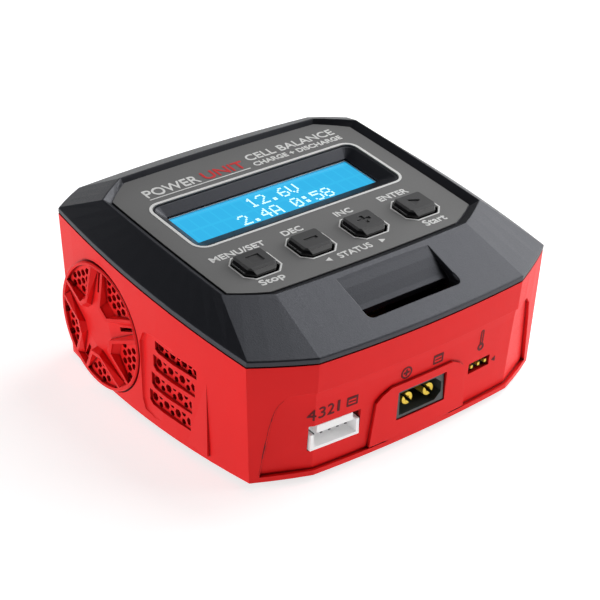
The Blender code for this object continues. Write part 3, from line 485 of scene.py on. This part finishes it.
def thicken(bm, by):
    """Broadens the strokes of flat lettering: copies set off sideways by this many mm, each a hair lower."""
    first = bm.verts[:] + bm.edges[:] + bm.faces[:]
    for step, (dx, dy) in enumerate(((-by, 0), (0, by), (0, -by))):
        copy = bmesh.ops.duplicate(bm, geom=first)["geom"]
        verts = [part for part in copy if isinstance(part, bmesh.types.BMVert)]
        bmesh.ops.translate(bm, vec=(dx, dy, -0.003 * (step + 1)), verts=verts)


def legend(name, words, x_low, x_high, v, height=2.2, mat=INK, weight=0.009, bold=0.08):
    """Words between two x, their lower edge at v; weight swells the strokes evenly and bold widens them."""
    bm = letters(words, x_high - x_low, height, weight)
    thicken(bm, bold)
    printed_piece(name, bm, mat, (x_low, v))


KEY_PITCH = 18.0
KEY_BORDER_V = -13.1
ARROW_V = -21.0
RULE_V = (26.2, 26.55)


def borders():
    """White lines round the display and the keys."""
    outer = rounded(71.0, 25.0, 4.2, (0.15, 12.0))
    line_frame("display_border", outer, rounded(69.3, 23.4, 3.3, (0.15, 11.95)))
    for index, key in enumerate(("stop", "decrease", "increase", "enter")):
        at = ((index - 1.5) * KEY_PITCH, KEY_BORDER_V)
        line_frame(f"key_border_{key}", chamfered(12.4, 11.3, 2.5, at), chamfered(11.5, 10.4, 2.2, at))


def key_legends():
    legend("legend_mode", "MENU/SET", -35.6, -18.6, -6.9, bold=0.07)
    legend("legend_stop", "Stop", -31.2, -23.8, -22.3, 2.9, bold=0.1)
    legend("legend_decrease", "DEC", -12.2, -5.8, -6.3)
    legend("legend_increase", "INC", 5.8, 11.4, -6.0)
    legend("legend_enter", "ENTER", 21.0, 31.0, -6.1)
    legend("legend_start", "Start", 23.4, 30.8, -22.0, 2.6, bold=0.09)
    legend("legend_status", "STATUS", -6.3, 4.6, -22.1)
    for name, x, way in (("arrow_previous", -9.7, -1), ("arrow_next", 8.6, 1)):
        tip = (x + way * 0.9, ARROW_V)
        outline = [tip, (x - way * 0.9, ARROW_V + 0.9), (x - way * 0.9, ARROW_V - 0.9)]
        printed_piece(name, slab(bmesh.new(), outline, 0, PRINT_DEPTH))


def titles():
    legend("title_power", "POWER", -31.5, -14.2, 27.4, 3.6, weight=0.0, bold=0.12)
    legend("title_unit", "UNIT", -12.4, 1.4, 27.4, 3.6, INK_RED, weight=0.0, bold=0.16)
    legend("title_cells", "CELL BALANCE", 3.6, 34.4, 29.6, 3.0, weight=0.005)
    legend("title_modes", "CHARGE + DISCHARGE", 3.6, 34.6, 26.4, 2.0, weight=0.015)
    printed_piece("title_rule", bar(bmesh.new(), -31.8, 1.6, *RULE_V))


# The display's characters, each five dots wide and seven high, top row first

GLYPHS = {
    "0": "01110 10001 10011 10101 11001 10001 01110",
    "1": "00100 01100 00100 00100 00100 00100 01110",
    "2": "01110 10001 00001 00010 00100 01000 11111",
    "4": "00010 00110 01010 10010 11111 00010 00010",
    "5": "11111 10000 11110 00001 00001 10001 01110",
    "6": "00110 01000 10000 11110 10001 10001 01110",
    "8": "01110 10001 10001 01110 10001 10001 01110",
    ".": "00000 00000 00000 00000 00000 01100 01100",
    ":": "00000 01100 01100 00000 01100 01100 00000",
    "A": "01110 10001 10001 10001 11111 10001 10001",
    "V": "10001 10001 10001 10001 10001 01010 00100",
}
READOUT = ((1, 6, "12.6V"), (0, 4, "2.4A 0:58"))  # row from the bottom, first column, characters
CHARACTER_DEPTH = 0.03


def display_characters():
    width, height = LIT_SHARE * DOT[0], LIT_SHARE * DOT[1]
    bm = bmesh.new()
    for row, column, words in READOUT:
        for place, sign in enumerate(words):
            for line, dots in enumerate(GLYPHS.get(sign, "").split()):
                for step, dot in enumerate(dots):
                    if dot == "0":
                        continue
                    x = CELL_LOW[0] + (column + place) * CELL[0] + step * DOT[0]
                    v = CELL_LOW[1] + row * CELL[1] + (7 - line) * DOT[1]
                    bar(bm, x, x + width, v, v + height, CHARACTER_DEPTH)
    to_panel = PANEL.inverted()
    glass_top = max((to_panel @ vert.co).z / MM for vert in nodes["lcd_glass"].data.vertices)
    matrix = PANEL @ Matrix.Translation((0, 0, (glass_top + PRINT_LIFT) * MM))
    add_piece("display_characters", bm, DOTS, matrix)


# Dark marks of painted shade on the tub's front, placed in mm by x to the right and z up


class FrontFace:
    """The tub's front surface, to lay flat marks on it."""

    START_Y = -80.0  # well in front of the tub
    LIFT = 0.03

    def __init__(self):
        mesh = nodes["lower_case"].data
        self.tree = BVHTree.FromPolygons([v.co for v in mesh.vertices], [p.vertices for p in mesh.polygons])

    def hit(self, x, z):
        """The first point of the tub straight behind x and z, and its normal."""
        start = Vector((x * MM, self.START_Y * MM, z * MM))
        return self.tree.ray_cast(start, Vector((0, 1, 0)))[:2]

    def place(self, x, z):
        """A frame on the surface at x and z: its X to the right, its Y up the face, its Z out of it."""
        point, normal = self.hit(x, z)
        if normal.y > 0:
            normal.negate()
        right = Vector((0, 0, 1)).cross(normal).normalized()
        up = normal.cross(right)
        matrix = Matrix((right, up, normal)).transposed().to_4x4()
        matrix.translation = point + normal * self.LIFT * MM
        return matrix

    def mark(self, name, bm, x, z):
        # the mark is painted shade: dark red standing for the shade of an engraving
        add_piece(name, bm, PAINTED_SHADE_RED, self.place(x, z))


# The left edge of the port field is a step in the corner face, found by rays in rows one mm apart
EDGE_ROWS = [3.8 + row for row in range(27)]
EDGE_COLUMNS = [-47.6 + 0.12 * column for column in range(95)]
EDGE_STEP = 0.12  # least step between two neighbouring rays that counts as the edge
EDGE_GAP = 1.5
EDGE_WIDTH = (0.5, 0.04)  # the line's outer and inner side, left of the step
EDGE_LIFT = 0.03


def edge_trail(face):
    """Where the step is in each row, smoothed over three rows."""
    trail = []
    for z in EDGE_ROWS:
        depths = []
        for x in EDGE_COLUMNS:
            point, _ = face.hit(x, z)
            depths.append((x, point.y / MM if point else 0.0))
        rise, x = max((b[1] - a[1], a[0]) for a, b in zip(depths, depths[1:]))
        if rise > EDGE_STEP:
            trail.append((x, z))
    middle = [((a[0] + b[0] + c[0]) / 3, b[1]) for a, b, c in zip(trail, trail[1:], trail[2:])]
    return trail[:1] + middle + trail[-1:]


def edge_line(face):
    """A thin painted shadow line, dark red, lying on the outer side of that step."""
    outer, inner = EDGE_WIDTH
    trail = edge_trail(face)
    bm = bmesh.new()
    for (x0, z0), (x1, z1) in zip(trail, trail[1:]):
        if z1 - z0 > EDGE_GAP:
            continue
        corners = []
        for x, z in ((x0 - outer, z0), (x0 - inner, z0), (x1 - inner, z1), (x1 - outer, z1)):
            corners.append(bm.verts.new((face.place(x, z) @ Vector((0, 0, EDGE_LIFT * MM))) / MM))
        bm.faces.new(corners)
    if bm.faces:
        bmesh.ops.remove_doubles(bm, verts=bm.verts, dist=0.001)
        add_piece("painted_shadow_field_edge", bm, PAINTED_SHADE_RED, Matrix.Identity(4))


def ring(bm, radius, hole_radius, at=(0, 0), count=28):
    """A flat ring round a point."""
    rims = []
    for size in (radius, hole_radius):
        turns = [2 * math.pi * k / count for k in range(count)]
        rims.append([(at[0] + size * math.cos(turn), at[1] + size * math.sin(turn)) for turn in turns])
    slab(bm, rims[0], 0, PRINT_DEPTH, hole=rims[1])


# Parts of a mark that cross each other differ in depth, so that no two faces lie in one plane
UNDER = 0.9 * PRINT_DEPTH
LOWEST = 0.8 * PRINT_DEPTH

CELL_DIGITS = (("4", -34.4, 2.4), ("3", -31.5, 2.0), ("2", -28.9, 2.0), ("1", -26.6, 0.7))  # with x and width
DIGIT_HEIGHT = 3.3
DIGIT_LIFT = 0.04


def cell_digits(face):
    """The numbers of the balance port's cells, in a row that climbs slightly to the right."""
    for digit, x, width in CELL_DIGITS:
        bm = letters(digit, width, DIGIT_HEIGHT)
        bmesh.ops.translate(bm, vec=(-width / 2, -DIGIT_HEIGHT / 2, DIGIT_LIFT), verts=bm.verts)
        face.mark(f"mark_cell_{digit}", bm, x, 20.0 + 0.05 * (x + 30))


def battery_mark(name, face, x, z):
    """A small battery: an outlined box with a solid band along its top and a bar in the middle."""
    bm = bmesh.new()
    slab(bm, rounded(3.4, 2.5, 0.2, steps=2), 0, PRINT_DEPTH, hole=rounded(2.5, 1.6, 0.1, steps=2))
    bar(bm, -1.7, 1.7, 0.9, 1.55, LOWEST)
    bar(bm, -1.0, 1.0, -0.15, 0.15)
    face.mark(name, bm, x, z)


def plus_mark(face):
    """A plus in a ring, over the output's positive pin."""
    bm = bmesh.new()
    ring(bm, 1.8, 1.35)
    bar(bm, -0.95, 0.95, -0.27, 0.27)
    bar(bm, -0.27, 0.27, -0.95, 0.95, UNDER)
    face.mark("mark_plus", bm, -5.3, 22.15)


def thermometer_mark(face):
    """A round bulb under an outlined stem, over the sensor port."""
    bm = bmesh.new()
    ring(bm, 1.15, 0.55, (0, -1.9))
    slab(bm, rounded(1.15, 4.4, 0.5, (0, 1.2), 4), 0, UNDER, hole=rounded(0.4, 3.6, 0.18, (0, 1.2), 4))
    face.mark("mark_thermometer", bm, 21.4, 21.6)


def front_marks():
    face = FrontFace()
    edge_line(face)
    cell_digits(face)
    battery_mark("mark_balance_battery", face, -22.4, 19.9)
    battery_mark("mark_output_battery", face, 5.5, 22.2)
    plus_mark(face)
    thermometer_mark(face)
    arrow = slab(bmesh.new(), [(-0.7, 0), (0.7, -0.8), (0.7, 0.8)], 0, PRINT_DEPTH)
    face.mark("mark_pin_one", arrow, 27.3, 13.4)


# Floor, light and camera


FLOOR_HALF = 3.0
FLOOR_GLOW = 0.74


def stage_floor():
    """A wide, flat, faintly uneven paper floor that glows enough to read as white."""
    bm = bmesh.new()
    bmesh.ops.create_grid(bm, x_segments=2, y_segments=2, size=FLOOR_HALF)
    mesh = bpy.data.meshes.new("floor")
    bm.to_mesh(mesh)
    bm.free()
    floor = bpy.data.objects.new("floor", mesh)
    bpy.context.scene.collection.objects.link(floor)
    made = Builder("floor_paper", (0.62, 0.64, 0.64), 0.9, specular=0.1)
    made.colour(made.blend(made.noise(0.02, 2.0), (0.61, 0.63, 0.63), (0.63, 0.65, 0.65)))
    made.glow((1, 1, 1), FLOOR_GLOW)
    floor.data.materials.append(made.material)


TARGET = Vector((0, 0, 0.025))  # about the middle of the object


def softbox(name, azimuth, elevation, distance, size, power):
    """An area light on a sphere round the object; azimuth 0 is in front of it, 90 on its left."""
    turn = math.radians(azimuth)
    rise = math.radians(elevation)
    way = Vector((-math.sin(turn) * math.cos(rise), -math.cos(turn) * math.cos(rise), math.sin(rise)))
    place = TARGET + distance * way
    lamp = bpy.data.lights.new(name, "AREA")
    lamp.shape = "RECTANGLE"
    lamp.size, lamp.size_y = size
    lamp.energy = power
    holder = bpy.data.objects.new(name, lamp)
    holder.location = place
    holder.rotation_euler = (TARGET - place).to_track_quat("-Z", "Y").to_euler()
    bpy.context.scene.collection.objects.link(holder)


# Name, azimuth and elevation in degrees, distance and size in metres, power in watts
LIGHTS = (
    ("light_left", 114, 8, 0.9, (0.6, 0.4), 3.9),
    ("light_front_right", -58, 30, 0.9, (0.6, 0.6), 2.45),
    ("light_front_right_low", -66, 5, 0.9, (0.6, 0.4), 1.8),
    ("light_right", -95, 25, 0.9, (0.6, 0.6), 4.0),
    ("light_right_high", -100, 58, 0.9, (0.5, 0.5), 2.9),
    ("light_rear", 180, 18, 1.0, (0.7, 0.3), 0.9),
)


def light_scene():
    world = bpy.data.worlds.new("studio")
    bpy.context.scene.world = world
    world.use_nodes = True
    world.node_tree.nodes["Background"].inputs["Color"].default_value = (1, 1, 1, 1)
    world.node_tree.nodes["Background"].inputs["Strength"].default_value = 0.03
    for name, azimuth, elevation, distance, size, power in LIGHTS:
        softbox(name, azimuth, elevation, distance, size, power)
    bpy.context.scene.view_settings.view_transform = "Standard"


CAMERA_PLACE = Vector((-0.26622, -0.32286, 0.25399))
CAMERA_AZIMUTH = math.radians(-39.395)
CAMERA_ELEVATION = math.radians(29.220)
CAMERA_ROLL = math.radians(1.003)
CAMERA_LENS = 105.9


def add_camera():
    """A long lens from the front left, looking down on the object."""
    back = Vector((math.sin(CAMERA_AZIMUTH) * math.cos(CAMERA_ELEVATION),
                   -math.cos(CAMERA_AZIMUTH) * math.cos(CAMERA_ELEVATION), math.sin(CAMERA_ELEVATION)))
    right = Vector((math.cos(CAMERA_AZIMUTH), math.sin(CAMERA_AZIMUTH), 0))
    level = Matrix((right, back.cross(right), back)).transposed()
    turned = level @ Matrix.Rotation(CAMERA_ROLL, 3, "Z")
    lens = bpy.data.cameras.new("camera")
    lens.sensor_width = 36.0
    lens.lens = CAMERA_LENS
    lens.clip_start = 0.01
    holder = bpy.data.objects.new("camera", lens)
    holder.matrix_world = Matrix.Translation(CAMERA_PLACE) @ turned.to_4x4()
    bpy.context.scene.collection.objects.link(holder)
    bpy.context.scene.camera = holder


add_camera()
light_scene()
stage_floor()
dress_nodes()
borders()
key_legends()
titles()
display_characters()
front_marks()
